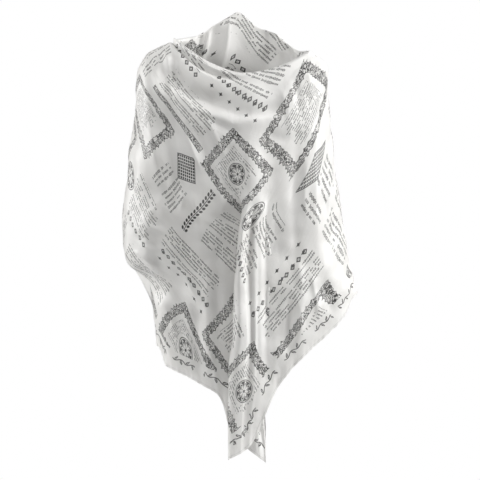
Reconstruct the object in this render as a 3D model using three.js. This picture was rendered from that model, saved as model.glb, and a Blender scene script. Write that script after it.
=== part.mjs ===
// Prayer scarf, worn: one square of thin printed satin folded corner to corner and worn with the doubled corner at the
// front, the long fold round the neck and the two ends crossing behind the shoulders. Hollow, held up by its wearer.
// Millimetres, +Z up, front faces -Y, origin at the base of the neck.
import * as THREE from 'three';

const WALL = 1.6;            // cloth wall
const SEAM = 0.5;            // clearance where two stretches meet
const TUCK = 9.0;            // how far the panel is pressed in beside and under the pleat
const LAYER = 5.5;           // step between the over end and the under end at the back
const TURN = 10.5;           // step from the outer layer to the one turned inside at the neck
const TOP_T = 0.45;          // ring position where the panels leave the neck fold
const RAD = Math.PI / 180;

// Rings from the neck fold (first row) to the lowest corner: heights at front, right, back and left, outermost left and
// right, front and back depth, squareness of the ring.
const RINGS = [
  { zF: -54, zR: -4, zB: 40, zL: 26, xL: -138, xR: 172, yF: -84, yB: 74, n: 2.0 },
  { zF: -80, zR: -9, zB: 8, zL: 19, xL: -155, xR: 185, yF: -101, yB: 88, n: 2.05 },
  { zF: -106, zR: -15, zB: -32, zL: 5, xL: -182, xR: 198, yF: -113, yB: 102, n: 2.1 },
  { zF: -136, zR: -27, zB: -76, zL: -14, xL: -209, xR: 211, yF: -121, yB: 113, n: 2.2 },
  { zF: -172, zR: -50, zB: -124, zL: -50, xL: -228, xR: 221, yF: -127, yB: 120, n: 2.3 },
  { zF: -216, zR: -105, zB: -178, zL: -105, xL: -229, xR: 223, yF: -131, yB: 124, n: 2.35 },
  { zF: -268, zR: -178, zB: -238, zL: -178, xL: -238, xR: 229, yF: -134, yB: 126, n: 2.4 },
  { zF: -326, zR: -262, zB: -304, zL: -262, xL: -250, xR: 238, yF: -135, yB: 126, n: 2.4 },
  { zF: -388, zR: -352, zB: -374, zL: -352, xL: -259, xR: 250, yF: -136, yB: 124, n: 2.4 },
  { zF: -452, zR: -446, zB: -448, zL: -446, xL: -266, xR: 263, yF: -136, yB: 121, n: 2.35 },
  { zF: -502, zR: -502, zB: -502, zL: -502, xL: -252, xR: 274, yF: -135, yB: 118, n: 2.3 },
  { zF: -556, zR: -556, zB: -556, zL: -556, xL: -200, xR: 287, yF: -133, yB: 115, n: 2.25 },
  { zF: -620, zR: -620, zB: -620, zL: -620, xL: -191, xR: 292, yF: -131, yB: 112, n: 2.2 },
  { zF: -700, zR: -700, zB: -700, zL: -700, xL: -186, xR: 280, yF: -128, yB: 110, n: 2.2 },
  { zF: -800, zR: -800, zB: -800, zL: -800, xL: -180, xR: 270, yF: -124, yB: 108, n: 2.2 },
  { zF: -980, zR: -980, zB: -980, zL: -980, xL: -175, xR: 262, yF: -118, yB: 105, n: 2.2 },
];

// Extra height of the fold standing behind the neck, by angle round the ring (0 front, 90 right, 180 back).
const COLLAR = [
  { a: 130, lift: 0 }, { a: 147, lift: 12 }, { a: 164, lift: 17 }, { a: 172, lift: 31 }, { a: 178, lift: 45 },
  { a: 183, lift: 52 }, { a: 189, lift: 44 }, { a: 198, lift: 31 }, { a: 213, lift: 13 }, { a: 224, lift: 1 }, { a: 236, lift: 0 },
];

// The pleat down the front: left folded edge, crest and right ridge measured from that edge, height and how far it is
// folded under (0 none, 1 whole).
const PLEAT = [
  { z: -40, x: 10, crest: 34, ridge: 66, high: 0.0, under: 0 },
  { z: -204, x: 14, crest: 30, ridge: 62, high: 0.06, under: 0 },
  { z: -300, x: 15, crest: 22, ridge: 60, high: 0.4, under: 0 },
  { z: -376, x: 14, crest: 16, ridge: 60, high: 0.8, under: 0.3 },
  { z: -430, x: 9, crest: 16, ridge: 66, high: 1.0, under: 0.85 },
  { z: -500, x: 5, crest: 22, ridge: 74, high: 1.0, under: 1 },
  { z: -555, x: 0, crest: 32, ridge: 80, high: 1.0, under: 1 },
  { z: -665, x: -2, crest: 41, ridge: 82, high: 1.0, under: 1 },
  { z: -745, x: -12, crest: 48, ridge: 90, high: 0.95, under: 1 },
  { z: -794, x: -13, crest: 50, ridge: 80, high: 0.8, under: 1 },
  { z: -850, x: -14, crest: 40, ridge: 60, high: 0.55, under: 1 },
  { z: -980, x: -14, crest: 26, ridge: 44, high: 0.3, under: 1 },
];
const PLEAT_HIGH = 25;       // crest of the pleat over the panels
const PLEAT_REACH = 84;      // width folded under
// Section across the pleat, from the hidden fold round the left edge to the right panel. Along: of the crest distance
// (c) or of the ridge distance (r); d: part of the height; low: mm under the panels; flat: where the same point lies while the pleat is not yet folded under.
const SECTION = [
  { reach: 1.0, c: 0, r: 0, d: 0, low: -5.6, flat: -14 },
  { reach: 0.62, c: 0, r: 0, d: 0, low: -5.2, flat: -7 },
  { reach: 0.26, c: 0, r: 0, d: 0, low: -3.6, flat: 0 },
  { reach: 0.06, c: 0, r: 0, d: 0.10, low: -1, flat: 5 },
  { reach: 0, c: 0, r: 0, d: 0.34, low: 0, flat: 10 },
  { reach: 0, c: 0.2, r: 0, d: 0.68, low: 0, flat: 14 },
  { reach: 0, c: 0.56, r: 0, d: 0.93, low: 0, flat: 20 },
  { reach: 0, c: 1, r: 0, d: 1.0, low: 0, flat: 28 },
  { reach: 0, c: 0.62, r: 0.38, d: 0.84, low: 0, flat: 38 },
  { reach: 0, c: 0.3, r: 0.7, d: 0.76, low: 0, flat: 49 },
  { reach: 0, c: 0, r: 1, d: 0.8, low: 0, flat: 60 },
  { reach: 0, c: 0, r: 1.14, d: 0.42, low: 0, flat: 70 },
  { reach: 0, c: 0, r: 1.34, d: 0.0, low: 0, flat: 84 },
];

// Lower edges by distance from the middle, seen from the front.
const HEM_LEFT = [
  { x: -300, z: -700 }, { x: -181, z: -702 }, { x: -165, z: -738 }, { x: -127, z: -761 }, { x: -75, z: -787 },
  { x: -33, z: -815 }, { x: -23, z: -846 }, { x: -14, z: -884 }, { x: 31, z: -936 }, { x: 76, z: -970 },
];
const HEM_RIGHT = [
  { x: -14, z: -962 }, { x: 31, z: -936 }, { x: 45, z: -919 }, { x: 56, z: -898 }, { x: 66, z: -874 },
  { x: 82, z: -838 }, { x: 103, z: -794 }, { x: 125, z: -764 }, { x: 167, z: -717 }, { x: 202, z: -686 },
  { x: 249, z: -640 }, { x: 273, z: -607 }, { x: 291, z: -572 }, { x: 330, z: -569 },
];
const HEM_RETURN = [{ x: -14, z: -960 }, { x: 31, z: -924 }, { x: 80, z: -882 }];   // hidden leg of the pleat
// Ends at the back by angle round the ring: lower edge, upper edge as ring position.
const END_OVER = [
  { a: 90, hem: -570, top: 0.45 }, { a: 120, hem: -512, top: 0.45 }, { a: 150, hem: -456, top: 0.45 },
  { a: 180, hem: -402, top: 0.45 }, { a: 214, hem: -336, top: 0.47 }, { a: 225, hem: -296, top: 1.6 },
  { a: 238, hem: -252, top: 3.1 }, { a: 250, hem: -200, top: 4.3 },
];
const END_UNDER = [
  { a: -216, hem: -318, top: 3.2 }, { a: -196, hem: -372, top: 2.2 }, { a: -180, hem: -424, top: 1.5 }, { a: -152, hem: -520, top: 0.55 },
  { a: -130, hem: -596, top: 0.45 }, { a: -108, hem: -664, top: 0.45 }, { a: -90, hem: -700, top: 0.45 },
];

// Largest folds of the panels, as a line from top to bottom with a width and a height (negative: a trough).
const FOLDS = [
  { x0: -198, z0: -34, x1: -196, z1: -158, x2: -170, z2: -352, wide: 26, high: 9 },
  { x0: -170, z0: -340, x1: -204, z1: -430, x2: -196, z2: -524, wide: 24, high: 7 },
  { x0: -150, z0: -60, x1: -140, z1: -210, x2: -122, z2: -400, wide: 24, high: -9 },
  { x0: -128, z0: -165, x1: -104, z1: -215, x2: -74, z2: -290, wide: 10, high: 5 },
  { x0: -64, z0: -158, x1: -42, z1: -205, x2: -16, z2: -260, wide: 10, high: 5 },
  { x0: -110, z0: -420, x1: -128, z1: -560, x2: -118, z2: -735, wide: 26, high: -8 },
  { x0: -168, z0: -560, x1: -166, z1: -640, x2: -152, z2: -730, wide: 16, high: 6 },
  { x0: -60, z0: -480, x1: -72, z1: -620, x2: -70, z2: -770, wide: 22, high: 6 },
  { x0: 112, z0: -190, x1: 122, z1: -440, x2: 118, z2: -690, wide: 22, high: -9 },
  { x0: 186, z0: -120, x1: 176, z1: -330, x2: 190, z2: -520, wide: 28, high: 8 },
  { x0: 150, z0: -470, x1: 164, z1: -580, x2: 158, z2: -700, wide: 18, high: 7 },
  { x0: 236, z0: -380, x1: 246, z1: -500, x2: 236, z2: -620, wide: 16, high: -7 },
];

// ---- interpolation -------------------------------------------------------------------------------------------------
const clamp = (v, a, b) => Math.min(b, Math.max(a, v));
const smooth = (a, b, v) => { const q = clamp((v - a) / (b - a), 0, 1); return q * q * (3 - 2 * q); };

// Monotone cubic through the rows of a table.
function curve(rows, key, col) {
  const x = rows.map((r, i) => (key === null ? i : r[key])), y = rows.map((r) => r[col]), n = x.length;
  const d = [], m = [];
  for (let i = 0; i < n - 1; i++) d.push((y[i + 1] - y[i]) / (x[i + 1] - x[i]));
  for (let i = 0; i < n; i++) {
    if (i === 0) m.push(d[0]);
    else if (i === n - 1) m.push(d[n - 2]);
    else if (d[i - 1] * d[i] <= 0) m.push(0);
    else {
      const h0 = x[i] - x[i - 1], h1 = x[i + 1] - x[i], w1 = 2 * h1 + h0, w2 = h1 + 2 * h0;
      m.push((w1 + w2) / (w1 / d[i - 1] + w2 / d[i]));
    }
  }
  return (v) => {
    if (v <= x[0]) return y[0];
    if (v >= x[n - 1]) return y[n - 1];
    let i = 0;
    while (v > x[i + 1]) i++;
    const h = x[i + 1] - x[i], s = (v - x[i]) / h, s2 = s * s, s3 = s2 * s;
    return (2 * s3 - 3 * s2 + 1) * y[i] + (s3 - 2 * s2 + s) * h * m[i] + (3 * s2 - 2 * s3) * y[i + 1] + (s3 - s2) * h * m[i + 1];
  };
}
// Sort a table that counts down.
const up = (rows) => [...rows].sort((p, q) => p.z - q.z);

const ring = Object.fromEntries(Object.keys(RINGS[0]).map((c) => [c, curve(RINGS, null, c)]));
const collarLift = curve(COLLAR, 'a', 'lift');
const pleat = Object.fromEntries(['x', 'crest', 'ridge', 'high', 'under'].map((c) => [c, curve(up(PLEAT), 'z', c)]));
const hemLeft = curve(HEM_LEFT, 'x', 'z'), hemRight = curve(HEM_RIGHT, 'x', 'z');
const hemReturn = curve(HEM_RETURN, 'x', 'z');
const overHem = curve(END_OVER, 'a', 'hem'), overTop = curve(END_OVER, 'a', 'top');
const underHem = curve(END_UNDER, 'a', 'hem'), underTop = curve(END_UNDER, 'a', 'top');
const sec = Object.fromEntries(['reach', 'c', 'r', 'd', 'low', 'flat'].map((c) => [c, curve(SECTION, null, c)]));

// ---- the worn form -------------------------------------------------------------------------------------------------
// Point of the plain form at an angle (degrees) and ring position.
function form(a, t) {
  const th = a * RAD, s = Math.sin(th), c = Math.cos(th), e = 2 / ring.n(t);
  const xl = ring.xL(t), xr = ring.xR(t), cx = (xl + xr) / 2, ax = (xr - xl) / 2;
  const x = cx + ax * Math.sign(s) * Math.abs(s) ** e;
  const y = (c > 0 ? ring.yF(t) : ring.yB(t)) * Math.abs(c) ** e;
  let z = s * s * (s > 0 ? ring.zR(t) : ring.zL(t)) + c * c * (c > 0 ? ring.zF(t) : ring.zB(t));
  z += collarLift(((a % 360) + 360) % 360) * (1 - smooth(0, 1.6, t));
  return new THREE.Vector3(x, y, z);
}
// Angle on the front where the form reaches x.
function angleAt(x, t) {
  const xl = ring.xL(t), xr = ring.xR(t), cx = (xl + xr) / 2, ax = (xr - xl) / 2, q = clamp((x - cx) / ax, -1, 1);
  return Math.asin(Math.sign(q) * Math.abs(q) ** (ring.n(t) / 2)) / RAD;
}
function outward(a, t) {
  const e = 0.02, t0 = Math.max(0, t - e), dv = form(a, t + e).sub(form(a, t0)), dw = form(a + 0.4, t).sub(form(a - 0.4, t));
  return dv.cross(dw).normalize();
}
// Height of the folds over the form at a place on the front.
function foldAt(x, z) {
  let d = 0;
  for (const f of FOLDS) {
    let best = 1e9, at = 0;
    for (const [xa, za, xb, zb, k] of [[f.x0, f.z0, f.x1, f.z1, 0], [f.x1, f.z1, f.x2, f.z2, 1]]) {
      const ux = xb - xa, uz = zb - za, q = clamp(((x - xa) * ux + (z - za) * uz) / (ux * ux + uz * uz), 0, 1);
      const r = Math.hypot(x - xa - q * ux, z - za - q * uz);
      if (r < best) { best = r; at = (k + q) / 2; }
    }
    d += f.high * Math.exp(-((best / f.wide) ** 2)) * smooth(-0.02, 0.22, at) * (1 - smooth(0.78, 1.02, at));
  }
  return d;
}
// Point on the form moved out by d.
const moved = (a, t, d) => form(a, t).addScaledVector(outward(a, t), d);
const zMid = (t) => ring.zF(t);
// How far the left panel is pressed in beside and under the pleat.
function tuck(x, t) {
  const z = zMid(t), g = smooth(0, 0.55, pleat.under(z));
  return -TUCK * g * smooth(pleat.x(z) - 46, pleat.x(z) - 4, x);
}
const underEdge = (t) => { const z = zMid(t), g = pleat.under(z); return pleat.x(z) + g * PLEAT_REACH * (z < -880 ? 1.06 : 1) + (1 - g) * (-17 - SEAM); };
const panelEdge = (t) => { const z = zMid(t); return pleat.x(z) + pleat.under(z) * 1.34 * pleat.ridge(z) + (1 - pleat.under(z)) * 84 + SEAM + 0.6; };

function leftPanel(w, t) {
  const a = -90 + w * (angleAt(underEdge(t), t) + 90), p = form(a, t);
  return moved(a, t, foldAt(p.x, p.z) * smooth(0, 0.12, w) + tuck(p.x, t));
}
function rightPanel(w, t) {
  const a0 = angleAt(panelEdge(t), t), a = a0 + w * (90 - a0), p = form(a, t);
  return moved(a, t, foldAt(p.x, p.z) * smooth(0, 0.18, w) * (1 - smooth(0.9, 1, w)));
}
function pleatSheet(w, t) {
  const k = w * (SECTION.length - 1), z = zMid(t), g = pleat.under(z), high = pleat.high(z) * PLEAT_HIGH;
  const full = sec.reach(k) * PLEAT_REACH + sec.c(k) * pleat.crest(z) + sec.r(k) * pleat.ridge(z);
  const p = g * full + (1 - g) * sec.flat(k), bump = Math.sin(Math.PI * clamp((sec.flat(k) + 14) / 98, 0, 1)) ** 2;
  const d = high * (smooth(0, 0.5, g) * sec.d(k) + (1 - smooth(0, 0.5, g)) * bump) + smooth(0, 0.55, g) * sec.low(k);
  return moved(angleAt(pleat.x(z) + p, t), t, d);
}
// Soft hang of the cloth at the back.
const backWave = (a, t) => 4 * Math.sin((a - 90) / 11) * smooth(90, 115, a) * (1 - smooth(245, 268, a)) * smooth(1, 4, t);
// Neck fold: v = 0 at the lower inside edge, CREST at the top, 1 where the panels start.
const CREST = 0.62;
function neckFold(a, v) {
  const b = ((a + 180) % 360 + 360) % 360 - 180;                       // -180..180
  const left = smooth(-150, -110, b) * (1 - smooth(-25, 15, b));       // where the fold is a narrow roll
  if (v >= CREST) {
    const q = (v - CREST) / (1 - CREST), t = q * TOP_T;
    return moved(a, t, Math.sin(Math.PI * q) * (5 * left - 0.5));
  }
  const q = 1 - v / CREST, back = smooth(95, 135, Math.abs(b)), t = Math.max(0, q - 0.1) * (1.3 + 1.9 * back);
  const wide = TURN + 3 * back + 9 * (1 - left) * (1 - back), lip = Math.exp(-(((q - 0.2) / 0.11) ** 2)) * left;
  const p = moved(a, t, backWave((a + 360) % 360, t) - wide * smooth(0.04, 0.42, q));
  p.addScaledVector(outward(a, 0.6).setZ(0).normalize(), -12 * lip - 3 * smooth(0, 0.1, q));
  p.z += 20 * lip;
  return p;
}

// ---- solids --------------------------------------------------------------------------------------------------------
// Ring position where a column first reaches its lower edge.
function hemPosition(point, hem, from, to) {
  let a = from, b = to;
  for (let t = from; t <= to; t += 0.04) { const p = point(t); if (p.z <= hem(p)) { b = t; break; } a = t; }
  for (let i = 0; i < 24; i++) { const m = (a + b) / 2, p = point(m); if (p.z > hem(p)) a = m; else b = m; }
  return (a + b) / 2;
}
// Closed wall over a grid of points: the grid is the outer face, WALL is taken off the inner side.
function wall(name, cols, rows, point, colour) {
  const P = [], N = [], id = (i, j) => i * (rows + 1) + j;
  for (let i = 0; i <= cols; i++) for (let j = 0; j <= rows; j++) P.push(point(i / cols, j / rows));
  for (let i = 0; i <= cols; i++) for (let j = 0; j <= rows; j++) {
    const dv = P[id(i, Math.min(rows, j + 1))].clone().sub(P[id(i, Math.max(0, j - 1))]);
    const dw = P[id(Math.min(cols, i + 1), j)].clone().sub(P[id(Math.max(0, i - 1), j)]);
    N.push(dv.cross(dw).normalize());
  }
  const m = P.length, pos = new Float32Array(m * 6), tri = [];
  P.forEach((p, k) => { p.toArray(pos, 3 * k); p.clone().addScaledVector(N[k], -WALL).toArray(pos, 3 * (m + k)); });
  const quad = (a, b, c, d) => tri.push(a, b, c, a, c, d);
  for (let i = 0; i < cols; i++) for (let j = 0; j < rows; j++) {
    quad(id(i, j), id(i, j + 1), id(i + 1, j + 1), id(i + 1, j));
    quad(m + id(i, j), m + id(i + 1, j), m + id(i + 1, j + 1), m + id(i, j + 1));
  }
  for (let i = 0; i < cols; i++) {
    quad(id(i, 0), id(i + 1, 0), m + id(i + 1, 0), m + id(i, 0));
    quad(id(i, rows), m + id(i, rows), m + id(i + 1, rows), id(i + 1, rows));
  }
  for (let j = 0; j < rows; j++) {
    quad(id(0, j), m + id(0, j), m + id(0, j + 1), id(0, j + 1));
    quad(id(cols, j), id(cols, j + 1), m + id(cols, j + 1), m + id(cols, j));
  }
  const g = new THREE.BufferGeometry();
  g.setAttribute('position', new THREE.BufferAttribute(pos, 3));
  g.setIndex(tri);
  g.computeVertexNormals();
  const mesh = new THREE.Mesh(g, new THREE.MeshStandardMaterial({ color: colour, roughness: 0.55, metalness: 0, side: THREE.FrontSide }));
  mesh.name = name;
  return mesh;
}
// Panel from its upper edge to its hem.
function panel(name, cols, rows, sheet, hem, colour, top = () => TOP_T + 0.07, beside = null) {
  const from = [], to = [];
  for (let i = 0; i <= cols; i++) {
    const w = i / cols, along = i === 0 && beside ? beside : (t) => sheet(w, t);
    from.push(top(w));
    to.push(hemPosition(along, (p) => hem(p, w), from[i] + 0.1, RINGS.length - 1));
  }
  return wall(name, cols, rows, (w, v) => { const i = Math.round(w * cols); return sheet(w, from[i] + v * (to[i] - from[i])); }, colour);
}
const turn = (a0, a1) => (w) => a0 + w * (a1 - a0);

const scarf = new THREE.Group();
const IVORY = 0xe9e8e4;
scarf.add(panel('front_left_panel', 22, 22, leftPanel, (p) => hemLeft(p.x), IVORY));
scarf.add(panel('centre_pleat', 16, 20, pleatSheet, (p, w) => (w < 0.2 ? hemReturn(p.x) : hemRight(p.x)), IVORY));
scarf.add(panel('front_right_panel', 16, 20, rightPanel, (p) => hemRight(p.x), IVORY, undefined, (t) => pleatSheet(1, t)));

const overAngle = turn(90.3, 250), underAngle = turn(-216, -90.3);
scarf.add(panel('back_over_end', 22, 13, (w, t) => moved(overAngle(w), t, backWave(overAngle(w), t)),
  (p, w) => overHem(overAngle(w)), IVORY, (w) => overTop(overAngle(w)) + 0.07));
scarf.add(panel('back_under_end', 20, 13, (w, t) => moved(underAngle(w), t, backWave(underAngle(w) + 360, t) - LAYER * (1 - smooth(-118, -92, underAngle(w)))),
  (p, w) => underHem(underAngle(w)), IVORY, (w) => underTop(underAngle(w)) + 0.07));

scarf.add(wall('cowl_fold', 30, 12, (w, v) => neckFold(turn(-143.5, 112)(w), v), IVORY));
scarf.add(wall('collar_back', 14, 10, (w, v) => neckFold(turn(112.6, 215)(w), v), IVORY));

export default scarf;
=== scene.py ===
# Prayer scarf, worn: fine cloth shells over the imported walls, with printed satin.
import math

import bpy
import numpy as np
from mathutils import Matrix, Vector


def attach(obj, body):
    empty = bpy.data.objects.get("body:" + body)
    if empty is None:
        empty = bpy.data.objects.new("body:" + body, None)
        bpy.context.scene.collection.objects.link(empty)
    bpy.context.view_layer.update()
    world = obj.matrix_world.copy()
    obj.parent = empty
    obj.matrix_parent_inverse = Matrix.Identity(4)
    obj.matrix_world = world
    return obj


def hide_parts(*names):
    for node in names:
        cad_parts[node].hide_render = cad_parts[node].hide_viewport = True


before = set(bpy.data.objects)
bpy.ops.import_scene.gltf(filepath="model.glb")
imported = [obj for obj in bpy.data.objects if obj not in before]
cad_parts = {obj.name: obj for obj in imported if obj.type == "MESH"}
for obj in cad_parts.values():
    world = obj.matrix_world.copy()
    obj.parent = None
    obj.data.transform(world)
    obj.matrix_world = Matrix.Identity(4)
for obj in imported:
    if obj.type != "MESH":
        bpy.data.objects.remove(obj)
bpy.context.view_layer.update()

# ---- sizes, millimetres: the solids', but the collar, the pleat, its section and height and the left hem are finer -
RING_COLS = ("zF", "zR", "zB", "zL", "xL", "xR", "yF", "yB", "n")
RINGS = [
    (-54, -4, 40, 26, -138, 172, -84, 74, 2.0),
    (-80, -9, 8, 19, -155, 185, -101, 88, 2.05),
    (-106, -15, -32, 5, -182, 198, -113, 102, 2.1),
    (-136, -27, -76, -14, -209, 211, -121, 113, 2.2),
    (-172, -50, -124, -50, -228, 221, -127, 120, 2.3),
    (-216, -105, -178, -105, -229, 223, -131, 124, 2.35),
    (-268, -178, -238, -178, -238, 229, -134, 126, 2.4),
    (-326, -262, -304, -262, -250, 238, -135, 126, 2.4),
    (-388, -352, -374, -352, -259, 250, -136, 124, 2.4),
    (-452, -446, -448, -446, -266, 263, -136, 121, 2.35),
    (-502, -502, -502, -502, -252, 274, -135, 118, 2.3),
    (-556, -556, -556, -556, -200, 287, -133, 115, 2.25),
    (-620, -620, -620, -620, -191, 292, -131, 112, 2.2),
    (-700, -700, -700, -700, -186, 280, -128, 110, 2.2),
    (-800, -800, -800, -800, -180, 270, -124, 108, 2.2),
    (-980, -980, -980, -980, -175, 262, -118, 105, 2.2),
]
COLLAR = [(104, 0), (122, -7), (136, 0), (147, 12), (164, 17), (172, 31), (178, 45), (183, 52), (189, 44), (198, 31), (213, 13), (224, 1), (236, 0)]
PLEAT_COLS = ("z", "x", "crest", "ridge", "high", "under")
PLEAT = [
    (-40, 10, 34, 66, 0.0, 0),
    (-204, 14, 30, 62, 0.26, 0),
    (-300, 15, 24, 62, 0.52, 0),
    (-376, 12, 20, 64, 0.8, 0.3),
    (-430, 8, 20, 68, 1.0, 0.85),
    (-500, 5, 22, 74, 1.0, 1),
    (-555, 0, 32, 80, 1.0, 1),
    (-665, -2, 41, 82, 1.0, 1),
    (-745, -12, 46, 94, 0.86, 1),
    (-794, -13, 46, 94, 0.62, 1),
    (-850, -14, 42, 86, 0.40, 1),
    (-980, -14, 36, 76, 0.24, 1),
]
PLEAT_HIGH, PLEAT_REACH, TUCK, LAYER, TURN = 31.0, 84.0, 9.0, 5.5, 10.5
SECTION_COLS = ("reach", "c", "r", "d", "low", "flat")
SECTION = [
    (1.0, 0, 0, 0, -5.6, -14),
    (0.62, 0, 0, 0, -5.2, -7),
    (0.26, 0, 0, 0, -3.6, 0),
    (0.06, 0, 0, 0.10, -1, 5),
    (0, 0, 0, 0.34, 0, 10),
    (0, 0.2, 0, 0.84, 0, 14),
    (0, 0.46, 0, 1.0, 0, 20),
    (0, 0.85, 0, 0.70, 0, 28),
    (0, 0.62, 0.21, 0.42, 0, 38),
    (0, 0.3, 0.48, 0.47, 0, 49),
    (0, 0, 0.75, 0.25, 0, 60),
    (0, 0, 0.98, -0.13, 0, 70),
    (0, 0, 1.34, -0.17, 0, 84),
]
HEM_LEFT = [(-300, -696), (-183, -698), (-176, -718), (-166, -736), (-150, -749), (-127, -761), (-75, -787), (-33, -815), (-23, -846), (-14, -884), (31, -936), (76, -970)]
HEM_RIGHT = [
    (-14, -962), (31, -936), (45, -919), (56, -898), (66, -874), (82, -838), (103, -794), (125, -764), (167, -717),
    (202, -686), (249, -640), (273, -607), (291, -572), (330, -569),
]
HEM_RETURN = [(-14, -960), (31, -924), (80, -882)]
END_OVER = [(90, -570, 0.0), (120, -512, 0.0), (150, -456, 0.0), (180, -402, 0.0), (206, -352, 0.0), (214, -336, 0.3), (225, -296, 1.6), (238, -252, 3.1), (250, -200, 4.3)]
END_UNDER = [(-216, -318, 3.2), (-196, -372, 2.2), (-180, -424, 1.5), (-152, -520, 0.45), (-140, -560, 0.0), (-130, -596, 0.0), (-108, -664, 0.0), (-90, -700, 0.0)]

# Creases: a line from top to bottom by three points (x, z), width towards smaller and larger x, height (minus: trough).
FRONT_FOLDS = [
    ((-198, -30), (-194, -158), (-168, -352), 26, 20, 12.5),
    ((-168, -330), (-204, -430), (-197, -526), 26, 20, 9.5),
    ((-150, -60), (-140, -210), (-122, -400), 22, 20, -8.5),
    ((-238, -100), (-243, -260), (-240, -410), 10, 12, -4.5),
    ((-130, -158), (-104, -215), (-72, -292), 7, 10, 4.6),
    ((-66, -150), (-42, -205), (-14, -262), 7, 11, 4.2),
    ((-100, -150), (-76, -225), (-50, -290), 11, 9, -2.6),
    ((-146, 2), (-136, -46), (-124, -104), 9, 8, -4.4),
    ((-176, 2), (-168, -52), (-160, -112), 8, 8, -4.4),
    ((-160, 0), (-152, -50), (-144, -120), 7, 7, 3.0),
    ((-206, -16), (-204, -70), (-200, -130), 8, 9, 2.6),
    ((-110, -420), (-128, -560), (-118, -735), 24, 26, -7),
    ((-168, -556), (-166, -640), (-150, -730), 13, 15, 5),
    ((-232, -494), (-196, -548), (-158, -602), 10, 14, -7),
    ((-218, -520), (-196, -590), (-178, -668), 8, 9, 5),
    ((-196, -470), (-156, -535), (-112, -600), 12, 14, -5),
    ((-180, -440), (-132, -500), (-86, -590), 9, 14, 4.4),
    ((-92, -580), (-88, -680), (-80, -780), 12, 16, -5),
    ((-60, -480), (-62, -620), (-58, -790), 14, 16, 5.5),
    ((-36, -420), (-40, -560), (-36, -700), 12, 12, -3),
    ((84, -396), (94, -500), (96, -610), 8, 12, -6),
    ((192, -112), (184, -329), (194, -470), 44, 22, 12.5),
    ((192, -430), (210, -510), (216, -570), 38, 24, 6.0),
    ((150, -182), (138, -400), (150, -520), 14, 14, -5),
    ((150, -470), (160, -580), (150, -705), 12, 18, 6.5),
    ((128, -560), (132, -650), (122, -745), 9, 12, -5),
    ((206, -515), (220, -580), (236, -630), 14, 14, -4.2),
    ((248, -430), (256, -510), (262, -590), 10, 12, 4.5),
    ((232, -360), (238, -450), (244, -540), 9, 11, -4.5),
    ((96, -640), (98, -720), (92, -790), 9, 10, 4),
    ((196, -60), (206, -140), (212, -250), 9, 12, -4.5),
    ((168, -40), (182, -90), (190, -150), 8, 10, 3.4),
    ((140, -62), (152, -110), (156, -170), 8, 8, -3.4),
    ((108, -84), (126, -140), (134, -220), 9, 12, 3.2),
    ((-222, -388), (-190, -418), (-150, -432), 6, 8, 4.6),
    ((-236, -430), (-204, -452), (-166, -462), 6, 8, -4.2),
    ((-240, -470), (-208, -486), (-176, -520), 6, 8, 4.4),
    ((-140, -262), (-122, -330), (-126, -400), 6, 9, 3.4),
    ((-100, -330), (-84, -392), (-84, -452), 6, 9, 3.0),
    ((-44, -260), (-30, -330), (-26, -396), 7, 8, 3.4),
    ((-164, -596), (-146, -640), (-132, -690), 6, 8, 3.6),
    ((-128, -640), (-106, -690), (-82, -742), 6, 8, 3.8),
    ((-58, -690), (-48, -744), (-38, -800), 6, 7, 3.4),
    ((142, -560), (152, -610), (158, -668), 6, 8, 3.4),
    ((178, -520), (192, -580), (200, -640), 6, 9, 4.2),
    ((168, -250), (162, -330), (168, -410), 8, 9, 3.6),
    ((216, -290), (222, -370), (232, -440), 7, 8, 3.4),
]
# Swags that cross the chest: the same, drawn from left to right.
SWAGS = [
    ((-172, -36), (-112, -98), (20, -150), 18, 30, -15.5),
    ((-150, -80), (-96, -136), (10, -182), 8, 13, 3.6),
    ((-10, -148), (70, -150), (140, -128), 15, 24, -8.0),
    ((-120, -128), (10, -172), (120, -150), 12, 20, 3.6),
    ((-150, -80), (-70, -150), (30, -214), 13, 15, -3.2),
    ((-100, -250), (-40, -300), (0, -352), 14, 18, -3.4),
    ((60, -190), (120, -214), (190, -190), 11, 16, -2.6),
    ((-220, -300), (-160, -352), (-80, -380), 16, 18, -3.0),
    ((-170, -640), (-110, -680), (-40, -700), 14, 16, 2.6),
    ((100, -470), (170, -500), (250, -470), 16, 18, -2.6),
]
TAIL_FOLD = [((46, -820), (55, -905), (63, -985), 10, 9, 11.0)]
BACK_FOLDS = [   # seen through from the front: x to the right, on the back
    ((150, -60), (40, -190), (-90, -330), 14, 20, -6.5),
    ((200, -110), (110, -270), (0, -400), 16, 20, 6.5),
    ((236, -230), (190, -370), (110, -470), 14, 20, -6.0),
    ((250, -360), (230, -450), (190, -520), 11, 14, 5.0),
    ((90, -40), (-10, -130), (-130, -220), 12, 16, 5.5),
    ((20, 0), (-50, -80), (-150, -150), 9, 12, -4.5),
    ((-60, -20), (-120, -90), (-180, -160), 8, 12, 4.0),
    ((-200, -200), (-200, -360), (-180, -520), 13, 18, -6.0),
    ((-236, -160), (-244, -330), (-236, -500), 12, 14, 5.0),
    ((-150, -330), (-160, -440), (-150, -560), 12, 16, 5.0),
    ((-100, -400), (-116, -470), (-120, -540), 10, 12, -4.5),
    ((60, -230), (40, -330), (20, -420), 12, 14, -3.6),
]
COLLAR_FOLDS = [  # on the inside of the standing fold: angle, width in degrees, height
    (192, -8.5, 16.0), (203, 5.0, -3.0), (212, 3.4, 8.5), (219, 3.5, -4.0), (170, 8.0, 2.6), (156, 6.0, -3.2),
    (143, 7.0, 3.4), (129, 6.5, -2.6), (228, 4.5, 3.6),
]


# ---- interpolation -------------------------------------------------------------------------------------------------
def smooth(a, b, v):
    q = np.clip((np.asarray(v, float) - a) / (b - a), 0, 1)
    return q * q * (3 - 2 * q)


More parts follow.
